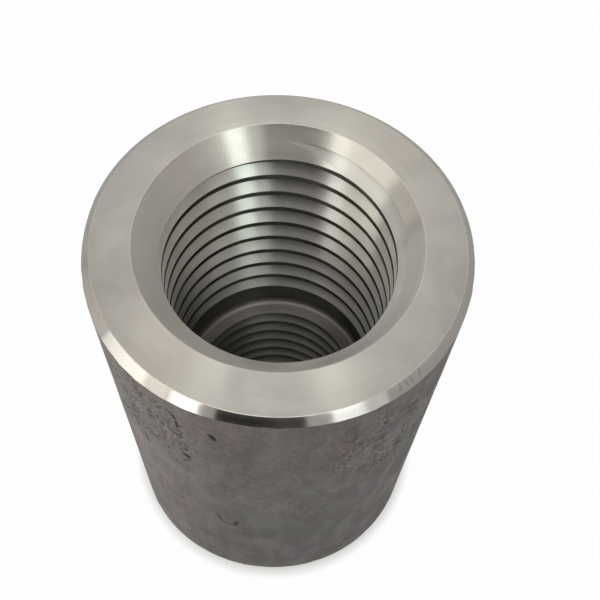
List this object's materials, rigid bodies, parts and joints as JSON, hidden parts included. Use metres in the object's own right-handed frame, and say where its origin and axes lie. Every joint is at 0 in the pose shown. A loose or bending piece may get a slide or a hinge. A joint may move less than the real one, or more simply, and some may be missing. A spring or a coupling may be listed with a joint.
{
  "type": "rebar coupler",
  "caption": "Round steel sleeve with a larger and a smaller tapped bore that joins two threaded reinforcing bars of different size end to end.",
  "frame": {"origin": "centre of the lower face, the one the sleeve stands on, at the mouth of the smaller bore", "axes": "+Z along the common axis of the bores, out of the mouth of the larger one; X and Y are any two directions square to it"},
  "size_m": [0.051, 0.051, 0.073],
  "materials": {
    "sleeve_steel": "as-rolled dark mill surface outside, bright turned ends, chamfers, countersinks and bores"
  },
  "bodies": {
    "root": {"coupler_sleeve": "sleeve_steel"}
  },
  "joints": []
}
